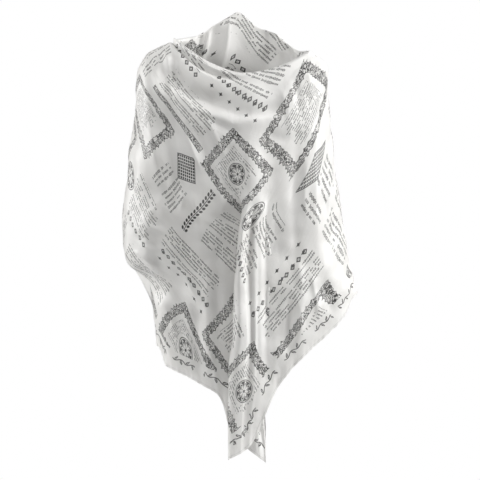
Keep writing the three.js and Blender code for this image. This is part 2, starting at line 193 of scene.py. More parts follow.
class Curve:
    """Monotone cubic through rows of numbers."""

    def __init__(self, x, y):
        x, y = np.array(x, float), np.array(y, float)
        if x[0] > x[-1]:
            x, y = x[::-1], y[::-1]
        h, d = np.diff(x), np.diff(y) / np.diff(x)
        m = np.zeros(len(x))
        m[0], m[-1] = d[0], d[-1]
        for i in range(1, len(x) - 1):
            if d[i - 1] * d[i] > 0:
                w1, w2 = 2 * h[i] + h[i - 1], h[i] + 2 * h[i - 1]
                m[i] = (w1 + w2) / (w1 / d[i - 1] + w2 / d[i])
        self.x, self.y, self.m = x, y, m

    def __call__(self, v):
        v = np.clip(np.asarray(v, float), self.x[0], self.x[-1])
        i = np.clip(np.searchsorted(self.x, v, side="right") - 1, 0, len(self.x) - 2)
        h = self.x[i + 1] - self.x[i]
        s = (v - self.x[i]) / h
        s2, s3 = s * s, s * s * s
        return (2 * s3 - 3 * s2 + 1) * self.y[i] + (s3 - 2 * s2 + s) * h * self.m[i] + (3 * s2 - 2 * s3) * self.y[i + 1] + (s3 - s2) * h * self.m[i + 1]


def columns(rows, names, key=None):
    x = list(range(len(rows))) if key is None else [r[names.index(key)] for r in rows]
    return {c: Curve(x, [r[names.index(c)] for r in rows]) for c in names if c != key}


def pair(rows, col=1):
    return Curve([r[0] for r in rows], [r[col] for r in rows])


ring = columns(RINGS, RING_COLS)
collar_lift = pair(COLLAR)
pleat = columns(PLEAT, PLEAT_COLS, "z")
sec = columns(SECTION, SECTION_COLS)
hem_left, hem_right, hem_return = pair(HEM_LEFT), pair(HEM_RIGHT), pair(HEM_RETURN)
over_hem, over_top = pair(END_OVER), pair(END_OVER, 2)
under_hem, under_top = pair(END_UNDER), pair(END_UNDER, 2)
T_MAX = len(RINGS) - 1


# ---- the worn form -------------------------------------------------------------------------------------------------
def form(a, t):
    th = np.radians(a)
    s, c, e = np.sin(th), np.cos(th), 2 / ring["n"](t)
    xl, xr = ring["xL"](t), ring["xR"](t)
    x = (xl + xr) / 2 + (xr - xl) / 2 * np.sign(s) * np.abs(s) ** e
    y = np.where(c > 0, ring["yF"](t), ring["yB"](t)) * np.abs(c) ** e
    z = s * s * np.where(s > 0, ring["zR"](t), ring["zL"](t)) + c * c * np.where(c > 0, ring["zF"](t), ring["zB"](t))
    z = z + collar_lift(np.mod(a, 360)) * (1 - smooth(0, 1.6, t))
    return np.stack(np.broadcast_arrays(x, y, z), -1)


def angle_at(x, t):
    xl, xr = ring["xL"](t), ring["xR"](t)
    q = np.clip((x - (xl + xr) / 2) / ((xr - xl) / 2), -1, 1)
    return np.degrees(np.arcsin(np.sign(q) * np.abs(q) ** (ring["n"](t) / 2)))


def unit(v):
    return v / np.maximum(np.linalg.norm(v, axis=-1, keepdims=True), 1e-9)


def outward(a, t):
    e = 0.02
    dv = form(a, t + e) - form(a, np.maximum(0, t - e))
    dw = form(a + 0.4, t) - form(a - 0.4, t)
    return unit(np.cross(dv, dw))


def crease(x, z, rows, flat=False):
    """Height of a table of creases at x, z. flat: the lines run across, so the widths are below and above."""
    d = np.zeros(np.broadcast(x, z).shape)
    for p0, p1, p2, w_low, w_high, high in rows:
        best = np.full(d.shape, 1e9)
        at, side = np.zeros(d.shape), np.zeros(d.shape)
        for k, (a, b) in enumerate(((p0, p1), (p1, p2))):
            ux, uz = b[0] - a[0], b[1] - a[1]
            length = math.hypot(ux, uz)
            q = np.clip(((x - a[0]) * ux + (z - a[1]) * uz) / length**2, 0, 1)
            rx, rz = x - a[0] - q * ux, z - a[1] - q * uz
            r = np.hypot(rx, rz)
            near = r < best
            best = np.where(near, r, best)
            at = np.where(near, (k + q) / 2, at)
            side = np.where(near, rz if flat else rx, side)
        w = np.where(side < 0, w_low, w_high)
        tip = 0.26 * w
        sharp = np.exp(-(np.sqrt(best**2 + tip**2) - tip) / (0.72 * w))
        round_ = np.exp(-((best / w) ** 2))
        shape = 0.65 * sharp + 0.35 * round_ if high > 0 else round_
        d += high * shape * smooth(-0.02, 0.26, at) * (1 - smooth(0.72, 1.02, at))
    return d


def ripple(p, q):
    """Small uneven slack in the cloth, by place on the flat square."""
    r = np.zeros(np.broadcast(p, q).shape)
    for k, (ang, wave, amp, ph) in enumerate(
        ((0.3, 141, 1.25, 0.4), (1.15, 97, 0.95, 2.1), (2.0, 118, 1.05, 4.0), (2.75, 73, 0.62, 1.2), (0.75, 55, 0.42, 5.1), (1.7, 47, 0.34, 3.3))
    ):
        c, s = math.cos(ang), math.sin(ang)
        r += amp * np.sin((p * c + q * s) / wave * 2 * math.pi + ph + 1.3 * np.sin((q * c - p * s) / (wave * 2.3) * 2 * math.pi + k))
    return r


def z_mid(t):
    return ring["zF"](t)


def under_edge(t):
    z = z_mid(t)
    g = pleat["under"](z)
    return pleat["x"](z) + g * PLEAT_REACH * np.where(z < -880, 1.06, 1.0) + (1 - g) * -14.0


def panel_edge(t):
    z = z_mid(t)
    g = pleat["under"](z)
    return pleat["x"](z) + g * 1.34 * pleat["ridge"](z) + (1 - g) * 84


# Columns of the outer layer, from the hidden tip of the under end round the front to the tip of the over end.
N_UNDER, N_LEFT, N_PLEAT, N_RIGHT, N_OVER = 84, 128, 96, 112, 128
W_UNDER = np.linspace(-216, -90, N_UNDER, endpoint=False)
W_LEFT = np.linspace(0, 1, N_LEFT)
# more columns where the pleat turns over its left edge
K_STOPS = Curve([0, 0.1, 0.2, 0.5, 0.62, 0.8, 1], [0, 1.1, 2.4, 6.2, 7.6, 10.2, 12])
W_PLEAT = K_STOPS(np.linspace(0, 1, N_PLEAT))
W_RIGHT = np.linspace(0, 1, N_RIGHT + 1)[1:]
W_OVER = np.linspace(90, 250, N_OVER + 1)[1:]
KIND = np.concatenate([np.full(len(w), k) for k, w in enumerate((W_UNDER, W_LEFT, W_PLEAT, W_RIGHT, W_OVER))])
PARAM = np.concatenate([W_UNDER, W_LEFT, W_PLEAT, W_RIGHT, W_OVER])
N_COLS = len(KIND)


def place(t):
    """Angle round the form for each column at ring positions t (columns, rows)."""
    w = PARAM[:, None]
    k = KIND[:, None]
    z = z_mid(t)
    g = pleat["under"](z)
    left = -90 + w * (angle_at(under_edge(t), t) + 90)
    full = sec["reach"](w) * PLEAT_REACH + sec["c"](w) * pleat["crest"](z) + sec["r"](w) * pleat["ridge"](z)
    mid = angle_at(pleat["x"](z) + g * full + (1 - g) * sec["flat"](w), t)
    a0 = angle_at(panel_edge(t), t)
    right = a0 + w * (90 - a0)
    return np.where(k == 1, left, np.where(k == 2, mid, np.where(k == 3, right, np.broadcast_to(w, t.shape))))


def back_wave(a, t):
    return 4 * np.sin((a - 90) / 11) * smooth(90, 115, a) * (1 - smooth(245, 268, a)) * smooth(1, 4, t)


def neck_left(b):
    return smooth(-152, -84, b) * (1 - smooth(-25, 15, b))


def height(a, t, base):
    """How far the cloth stands out from the form."""
    w, k = PARAM[:, None], KIND[:, None]
    x, z = base[..., 0], base[..., 2]
    front = smooth(-0.12, 0.2, np.cos(np.radians(a)))
    zc = z_mid(t)
    g = pleat["under"](zc)
    lower = smooth(0.2, 1.2, t)
    clear = 1 - smooth(pleat["x"](zc) - 10, pleat["x"](zc) + 6, x) * (1 - smooth(pleat["x"](zc) + 84, pleat["x"](zc) + 150, x)) * smooth(0.0, 0.6, g)
    d = front * crease(x, z, FRONT_FOLDS) * clear
    d += front * crease(x, z, SWAGS, True) * (1 - smooth(0.1, 0.9, g) * (x > pleat["x"](zc) - 8) * (x < pleat["x"](zc) + 90))
    back = 1 - front
    full_turn = np.where(a < 0, a + 360, a)
    d += back * (crease(x, z, BACK_FOLDS) + back_wave(full_turn, t))
    d = d * lower
    # pleat
    hi = pleat["high"](zc) * PLEAT_HIGH
    gs = smooth(0, 0.5, g)
    bump = np.sin(np.pi * np.clip((sec["flat"](w) + 14) / 98, 0, 1) ** 0.74) ** 2
    swell = 1 + 0.05 * np.sin(zc / 37.0) + 0.04 * np.sin(zc / 17.0 + 1)
    pl = hi * (gs * sec["d"](w) * swell + (1 - gs) * bump) + smooth(0, 0.55, g) * sec["low"](w)
    part = 0.35 * np.clip(w - 6, 0, 1) + 0.65 * smooth(9, 12, w)
    beside = hi * gs * -0.17 * (1 - smooth(0, 52, x - panel_edge(t)))
    d = np.where(k == 2, d * (1 - gs + gs * part) + pl, np.where(k == 3, d + beside, d))
    tuck = -TUCK * smooth(0, 0.55, g) * smooth(pleat["x"](zc) - 52, pleat["x"](zc) - 4, x)
    d = np.where(k == 1, d + tuck, d)
    tail = crease(x, z, TAIL_FOLD) * (1 - smooth(-905, -860, z))
    d = np.where(k == 1, d + tail, d)
    # the under end lies behind the over end
    d = np.where(k == 0, d - LAYER * (1 - smooth(-118, -92, a)), d)
    # narrow roll at the neck on the left, soft turn on the right
    left = neck_left(np.where(a > 180, a - 360, a))
    roll = 5.4 * np.sin(np.pi * np.clip(t / 0.40, 0, 1)) - 7.5 * np.exp(-(((t - 0.58) / 0.2) ** 2))
    soft = 5.0 * np.exp(-(((t - 0.55) / 0.5) ** 2)) * smooth(0, 0.25, t) * smooth(5, 40, a) * (1 - smooth(95, 130, a))
    return d + left * roll + soft


T_TOP = np.zeros(N_COLS)
T_TOP[KIND == 4] = over_top(W_OVER)
T_TOP[KIND == 0] = under_top(W_UNDER)


def hem_height(x):
    k, w = KIND[:, None], PARAM[:, None]
    h = np.where(k == 1, hem_left(x), np.where((k == 2) & (w < 2.6), hem_return(x), hem_right(x)))
    h = np.where(k == 0, under_hem(np.broadcast_to(w, x.shape)), h)
    return np.where(k == 4, over_hem(np.broadcast_to(w, x.shape)), h)


def hem_positions():
    step = np.linspace(0, 1, 900)[None, :]
    t = T_TOP[:, None] + 0.1 + step * (T_MAX - T_TOP[:, None] - 0.1)
    p = form(place(t), t)
    gap = p[..., 2] - hem_height(p[..., 0])
    i = np.argmax(gap <= 0, axis=1)
    i = np.where((gap <= 0).any(axis=1), np.maximum(i, 1), t.shape[1] - 1)
    r = np.arange(N_COLS)
    g0, g1, t0, t1 = gap[r, i - 1], gap[r, i], t[r, i - 1], t[r, i]
    return t0 + (t1 - t0) * g0 / np.where(np.abs(g0 - g1) < 1e-9, 1e-9, g0 - g1)


T_HEM = hem_positions()
# A hem is one cloth's edge, so neighbouring columns are evened out except where the pleat is folded.
for kinds in ((0, 1), (3, 4)):
    sel = np.where(np.isin(KIND, kinds))[0]
    v = T_HEM[sel]
    for _ in range(6):
        v[1:-1] = 0.25 * v[:-2] + 0.5 * v[1:-1] + 0.25 * v[2:]
    T_HEM[sel] = v

ROWS, LIP, ROLL = 232, 26, 4
LEAN = 20.0  # the collar's inner side comes forward by this at its foot
V = np.linspace(0, 1, ROWS) ** 1.12
T = T_TOP[:, None] + V[None, :] * (T_HEM - T_TOP)[:, None]
A = place(T)
BASE = form(A, T)
OUT = outward(A, T)
D = height(A, T, BASE)


# Place on the flat square: p along the fold, q down from it, in mm.
def arc(points, axis):
    d = np.linalg.norm(np.diff(points, axis=axis), axis=-1)
    z = np.zeros_like(np.take(d, [0], axis=axis))
    return np.concatenate([z, np.cumsum(d, axis=axis)], axis=axis)


rough = BASE + OUT * D[..., None]
along = arc(rough * np.array([1.0, 1.0, 0.0]), 0)
EDGE = int(np.argmin(np.abs(np.where(KIND == 2, PARAM, 99) - 4)))
first_mid, last_left = int(np.argmax(KIND == 2)), int(np.argmax(KIND == 2)) - 1
P_FLAT = along - along[EDGE]
shift = (rough[last_left, :, 0] - rough[EDGE, :, 0]) - P_FLAT[last_left]
P_FLAT[: last_left + 1] += shift[None, :]
P_FLAT[: last_left + 1] -= 62 * smooth(-300, -600, z_mid(T[: last_left + 1]))
Q_FLAT = arc(rough, 1)
ON_PLEAT = np.where(KIND[:, None] == 2, smooth(0, 0.5, pleat["under"](z_mid(T))) * (1 - smooth(8, 12, PARAM[:, None])), 0.0)
D = D + ripple(P_FLAT, Q_FLAT) * smooth(0.3, 2.0, T) * (1 - 0.55 * ON_PLEAT)
OUTER = BASE + OUT * D[..., None]


# The cloth turned in at the neck, from its lower edge up to the crest.
def lip_points():
    q = np.linspace(1, 0, LIP + 1)[:-1][None, :] ** 1.15
    a = A[:, :1] + 0 * q
    b = np.where(a > 180, a - 360, np.where(a < -180, a + 360, a))
    left = neck_left(b) * (KIND[:, None] < 4)
    back = smooth(95, 135, np.abs(b))
    turned = np.where(KIND == 4, smooth(222, 206, W_FULL), np.where(KIND == 0, smooth(-152, -141, W_FULL), 1.0))[:, None]
    deep = (1.3 + 1.9 * back) * (0.16 + 0.84 * turned)
    open_side = (1 - left) * (1 - back) * smooth(-30, 25, b)
    t = T_TOP[:, None] + np.maximum(0, q - 0.1 - 0.16 * open_side) * deep
    wide = (TURN + 3 * back + 9 * (1 - left) * (1 - back)) * (0.32 + 0.68 * turned)
    bump = np.exp(-(((q - 0.2) / 0.11) ** 2)) * left
    n = outward(a, t)
    shape = back_wave(np.mod(a, 360), t) * smooth(1, 4, t)
    p = form(a, t) + n * (shape - wide * smooth(0.04, 0.42, q))[..., None]
    flat_n = outward(a, np.full_like(a, 0.6))
    flat_n[..., 2] = 0
    flat_n = unit(flat_n)
    turn_to = np.mod(a, 360)
    # a minus width: two flat faces meeting in a crease
    folds = sum(h * (np.exp(-(((turn_to - c) / w) ** 2)) if w > 0 else np.exp(-np.sqrt((turn_to - c) ** 2 + 0.5) / -w)) for c, w, h in COLLAR_FOLDS)
    inward = 12 * bump + 3 * smooth(0, 0.1, q) + 13 * open_side * smooth(0, 0.3, q) + folds * smooth(0.0, 0.22, q) * turned
    inward = inward + LEAN * back * turned * smooth(0.25, 1.0, q)
    p -= flat_n * inward[..., None]
    p[..., 2] += 13 * bump * smooth(-84, -44, b) - 5 * open_side * smooth(0.02, 0.3, q)
    return p


W_FULL = PARAM
lip = lip_points()

# The rolled hem draws the cloth up in small puckers.
HEM_S = np.concatenate([[0], np.cumsum(np.linalg.norm(np.diff(OUTER[:, -1], axis=0), axis=-1))])
HEM_R = np.linalg.norm(OUTER - OUTER[:, -1:], axis=-1)
pucker = 0.9 * np.sin(HEM_S / 2.6 + 2.2 * np.sin(HEM_S / 19.0)) + 0.8 * np.sin(HEM_S / 6.1 + 1.4 * np.sin(HEM_S / 33.0))
slow = 2.6 * np.sin(HEM_S / 15.0 + 1.7 * np.sin(HEM_S / 47.0))
OUTER = OUTER + OUT * ((pucker[:, None] * np.exp(-HEM_R / 7.0)) + slow[:, None] * np.exp(-HEM_R / 26.0) * (1 - 0.6 * ON_PLEAT))[..., None]

# The rolled hem: a narrow turn to the inside.
down = unit(OUTER[:, -1] - OUTER[:, -3])
out = OUT[:, -1]
turns = []
for i in range(1, ROLL + 1):
    f = i * math.radians(58)
    turns.append(OUTER[:, -1] + 1.5 * (math.sin(f) * down + (math.cos(f) - 1) * out))
GRID = np.concatenate([lip, OUTER, np.stack(turns, 1)], axis=1)
p_lip = P_FLAT[:, :1] + 0 * lip[..., 0]
q_lip = -(arc(np.concatenate([lip, OUTER[:, :1]], 1)[:, ::-1], 1)[:, ::-1][:, :-1])
PF = np.concatenate([p_lip, P_FLAT] + [P_FLAT[:, -1:]] * ROLL, axis=1)
QF = np.concatenate([q_lip, Q_FLAT] + [Q_FLAT[:, -1:] + 1.2 * (i + 1) for i in range(ROLL)], axis=1)


def thread_axes(p, q, right):
    """Place on the print, mm. The cloth hangs on the bias, so its threads close up downwards, more on the right."""
    upper = np.minimum(q, 300) - 12 * np.log1p(np.exp(-np.abs(q - 300) / 24.0))
    lower = q - upper
    side = np.where(p < 0, 0.40 * smooth(30, 230, q) * p, 0.62 * smooth(20, 420, q) * 150 * (1 - np.exp(-np.maximum(p, 0) / 150)))
    u = 0.62 * upper + np.where(right, 0.79, 0.53) * lower + np.where(p < 0, 0.90, 0.79) * p
    v = 0.68 * upper + np.where(right, 0.40, 0.70) * lower - 0.42 * p - side
    return u, v


RIGHT = (KIND >= 2)[:, None]
PU, PV = thread_axes(PF, QF, RIGHT)
UV = np.stack([PU + 2000, PV + 2000], -1) / 1000


def hem_coords(grid, rows_from, window=34):
    """Along the hem and in from it, in metres, measured to the nearest place on the edge of the neighbouring columns."""
    edge = grid[:, rows_from]
    step = np.diff(edge, axis=0)
    size = np.maximum(np.linalg.norm(step, axis=-1), 1e-6)
    s = np.concatenate([[0], np.cumsum(size)])
    res = np.empty(grid.shape[:2] + (2,))
    for i in range(grid.shape[0]):
        lo, hi = max(0, i - window), min(len(step), i + window)
        rel = grid[i][:, None, :] - edge[None, lo:hi]
        f = np.clip((rel * step[None, lo:hi]).sum(-1) / size[None, lo:hi] ** 2, 0, 1)
        d = np.linalg.norm(rel - f[..., None] * step[None, lo:hi], axis=-1)
        j = np.argmin(d, axis=1)
        r = np.arange(len(j))
        res[i, :, 0] = s[lo + j] + f[r, j] * size[lo + j]
        res[i, :, 1] = d[r, j]
    return res / 1000


# the three cloth stretches that meet at the pleat keep their own edges
HEM = np.empty(GRID.shape[:2] + (2,))
edge_row = LIP + ROWS - 1
for sel, window in ((np.where(KIND <= 1)[0], 60), (np.where(KIND >= 2)[0], 90)):
    HEM[sel] = hem_coords(GRID[sel], edge_row, window)


def grid_normals(g):
    dv = np.gradient(g, axis=1)
    dw = np.gradient(g, axis=0)
    return unit(np.cross(dv, dw))


NORMAL = grid_normals(GRID)


def add_sheet(name, g, uv, hem, normals=None, closed=False):
    nc, nr = g.shape[:2]
    idx = np.arange(nc * nr).reshape(nc, nr)
    nxt = np.roll(idx, -1, axis=0) if closed else None
    a, b = (idx[:, :-1], idx[:, 1:]) if closed else (idx[:-1, :-1], idx[:-1, 1:])
    c, d = (nxt[:, 1:], nxt[:, :-1]) if closed else (idx[1:, 1:], idx[1:, :-1])
    quads = np.stack([a, b, c, d], -1).reshape(-1, 4)
    me = bpy.data.meshes.new(name)
    me.vertices.add(nc * nr)
    me.vertices.foreach_set("co", (g.reshape(-1, 3) / 1000).astype(np.float32).ravel())
    me.loops.add(len(quads) * 4)
    me.loops.foreach_set("vertex_index", quads.ravel().astype(np.int32))
    me.polygons.add(len(quads))
    me.polygons.foreach_set("loop_start", np.arange(0, len(quads) * 4, 4, dtype=np.int32))
    for label, data in (("cloth", uv), ("edge", hem)):
        layer = me.uv_layers.new(name=label)
        layer.data.foreach_set("uv", data.reshape(-1, 2)[quads.ravel()].astype(np.float32).ravel())
    me.update(calc_edges=True)
    me.validate()
    me.polygons.foreach_set("use_smooth", np.ones(len(me.polygons), dtype=bool))
    if normals is not None:
        me.normals_split_custom_set_from_vertices([tuple(v) for v in normals.reshape(-1, 3)])
    ob = bpy.data.objects.new(name, me)
    bpy.context.scene.collection.objects.link(ob)
    return ob


s_under, s_front, s_over = slice(0, N_UNDER + 1), slice(N_UNDER, N_COLS - N_OVER), slice(N_COLS - N_OVER - 1, N_COLS)
front = add_sheet("scarf_front", GRID[s_front], UV[s_front], HEM[s_front], NORMAL[s_front])
over = add_sheet("scarf_over_end", GRID[s_over], UV[s_over], HEM[s_over], NORMAL[s_over])
under = add_sheet("scarf_under_end", GRID[s_under], UV[s_under], HEM[s_under], NORMAL[s_under])


# ---- inner layer of the doubled cloth ------------------------------------------------------------------------------
def inner_layer():
    a = np.linspace(-180, 180, 300, endpoint=False)[:, None]
    back = smooth(95, 135, np.abs(a))
    top = 1.14 * (1.3 + 1.9 * back) - 0.3
    steps = np.linspace(0, 1, 700)[None]
    t = top + steps * (T_MAX - top)
    p = form(a + 0 * t, t)
    x = p[..., 0]
    hem_front = np.maximum(np.where(x < 20, hem_left(np.minimum(x, 4)), hem_right(np.maximum(x, 60))), -872)
    hem_front = hem_front + 8 + 5 * np.sin(x / 31) - 17 * np.exp(-(((x - 214) / 12) ** 2))
    ang = np.mod(a, 360)
    hem_back = np.maximum(over_hem(ang), under_hem(np.where(a > 0, a - 360, a))) + 12
    hem = np.where(np.abs(a) < 88, hem_front, hem_back + 0 * t)
    hit = np.argmax(p[..., 2] <= hem, axis=1)
    th = t[np.arange(len(a)), np.maximum(hit, 1)]
    for _ in range(3):
        th = 0.25 * np.roll(th, 1) + 0.5 * th + 0.25 * np.roll(th, -1)
    v = np.linspace(0, 1, 130)[None]
    t = top + v * (th[:, None] - top)
    aa = a + 0 * t
    base = form(aa, t)
    x, z = base[..., 0], base[..., 2]
    zc = z_mid(t)
    fr = smooth(-0.12, 0.2, np.cos(np.radians(aa)))
    g = smooth(0, 0.55, pleat["under"](zc))
    px = pleat["x"](zc)
    hollow = smooth(px - 60, px - 8, x) * (1 - smooth(px + 96, px + 126, x)) * g * fr
    d = fr * (crease(x, z, FRONT_FOLDS) + crease(x, z, SWAGS, True)) * (1 - hollow) - (TUCK + 2.5) * hollow
    full = np.where(aa < 0, aa + 360, aa)
    d += (1 - fr) * (crease(x, z, BACK_FOLDS) + back_wave(full, t))
    start = (TURN + 3 * back + 9 * (1 - neck_left(aa)) * (1 - back)) - 1.0 + LEAN * back + 13 * (1 - neck_left(aa)) * (1 - back) * smooth(-30, 25, aa)
    rest = 4.5 + (LAYER + 1.0) * back
    d -= rest + (start - rest) * (1 - smooth(0, 0.25, v)) + 1.2 * (1 + np.sin(aa / 7 + z / 60))
    pts = base + outward(aa, t) * d[..., None]
    dn = unit(pts[:, -1] - pts[:, -3])
    o = outward(aa, t)[:, -1]
    turn = [pts[:, -1] + 1.4 * (math.sin(f) * dn + (math.cos(f) - 1) * o) for f in np.radians([70, 140, 210])]
    pts = np.concatenate([pts, np.stack(turn, 1)], 1)
    q = arc(pts, 1) + 130
    pp = arc(np.concatenate([pts, pts[:1]], 0), 0)[:-1] - 600
    uv = np.stack([(pp - q) / math.sqrt(2) + 3000, (q + pp) / math.sqrt(2) + 3000], -1) / 1000
    return pts, uv, hem_coords(pts, v.shape[1] - 1)


inner = add_sheet("scarf_inner_layer", *inner_layer(), closed=True)
PIECES = [front, over, under, inner]


# ---- print and cloth -----------------------------------------------------------------------------------------------
class Net:
    def __init__(self, mat):
        self.nodes, self.links = mat.node_tree.nodes, mat.node_tree.links

    def new(self, kind, **props):
        n = self.nodes.new(kind)
        for k, v in props.items():
            setattr(n, k, v)
        return n

    def put(self, value, socket):
        if isinstance(value, Val):
            self.links.new(value.out, socket)
        else:
            socket.default_value = value

    def math(self, op, *args, clamp=False):
        n = self.new("ShaderNodeMath", operation=op, use_clamp=clamp)
        for i, v in enumerate(args):
            self.put(v, n.inputs[i])
        return Val(self, n.outputs[0])

    def vec(self, x, y, z=0.0):
        n = self.new("ShaderNodeCombineXYZ")
        for i, v in enumerate((x, y, z)):
            self.put(v, n.inputs[i])
        return Val(self, n.outputs[0])

    def noise(self, x, y, scale=1.0, detail=0.0, distort=0.0, rough=0.5):
        n = self.new("ShaderNodeTexNoise", noise_dimensions="2D")
        self.put(self.vec(x, y), n.inputs["Vector"])
        n.inputs["Scale"].default_value = scale
        n.inputs["Detail"].default_value = detail
        n.inputs["Distortion"].default_value = distort
        n.inputs["Roughness"].default_value = rough
        return Val(self, n.outputs["Fac"] if "Fac" in n.outputs else n.outputs[0])

    def white(self, x, y):
        n = self.new("ShaderNodeTexWhiteNoise", noise_dimensions="2D")
        self.put(self.vec(x, y), n.inputs["Vector"])
        return Val(self, n.outputs["Value"])

    def table(self, fac, rows):
        n = self.new("ShaderNodeValToRGB")
        n.color_ramp.interpolation = "CONSTANT"
        el = n.color_ramp.elements
        while len(el) < len(rows):
            el.new(0.5)
        for i, row in enumerate(rows):
            el[i].position = i / len(rows)
        for i, row in enumerate(rows):
            el[i].color = (*row, 1)
        self.put(fac, n.inputs[0])
        s = self.new("ShaderNodeSeparateColor")
        self.links.new(n.outputs[0], s.inputs[0])
        return [Val(self, s.outputs[i]) for i in range(3)]


class Val:
    def __init__(self, net, out):
        self.net, self.out = net, out

    def _op(self, op, *o, **k):
        return self.net.math(op, self, *o, **k)

    __add__ = __radd__ = lambda s, o: s._op("ADD", o)
    __mul__ = __rmul__ = lambda s, o: s._op("MULTIPLY", o)
    __sub__ = lambda s, o: s._op("SUBTRACT", o)
    __rsub__ = lambda s, o: s.net.math("SUBTRACT", o, s)
    __truediv__ = lambda s, o: s._op("DIVIDE", o)
    __lt__ = lambda s, o: s._op("LESS_THAN", o)
    __gt__ = lambda s, o: s._op("GREATER_THAN", o)
    floor = lambda s: s._op("FLOOR")
    abs = lambda s: s._op("ABSOLUTE")
    sin = lambda s: s._op("SINE")
    cos = lambda s: s._op("COSINE")
    sqrt = lambda s: s._op("SQRT")
    mod = lambda s, o: s._op("FLOORED_MODULO", o)
    min = lambda s, o: s._op("MINIMUM", o)
    max = lambda s, o: s._op("MAXIMUM", o)
    eq = lambda s, o: s._op("COMPARE", o, 0.5)
    inv = lambda s: s.net.math("SUBTRACT", 1.0, s)


def uv_mm(net, name):
    n = net.new("ShaderNodeUVMap", uv_map=name)
    s = net.new("ShaderNodeSeparateXYZ")
    net.links.new(n.outputs[0], s.inputs[0])
    return Val(net, s.outputs[0]) * 1000.0, Val(net, s.outputs[1]) * 1000.0


TILE_U, TILE_V, SHIFT = 172.0, 162.0, 2.0
# Rows of marks in each kind of block: middle across, middle up, half width, half height, pitch, and whether it has a heading.
TILES = [
    (0, 0, 78, 66, 8.7, 0),
    (0, 0, 47, 39, 6.0, 0),
    (32, -8, 48, 56, 8.7, 1),
    (0, -18, 78, 46, 8.7, 0),
    (36, 22, 44, 42, 8.7, 0),
    (0, -30, 78, 36, 8.7, 1),
    (0, 0, 47, 39, 6.0, 0),
]


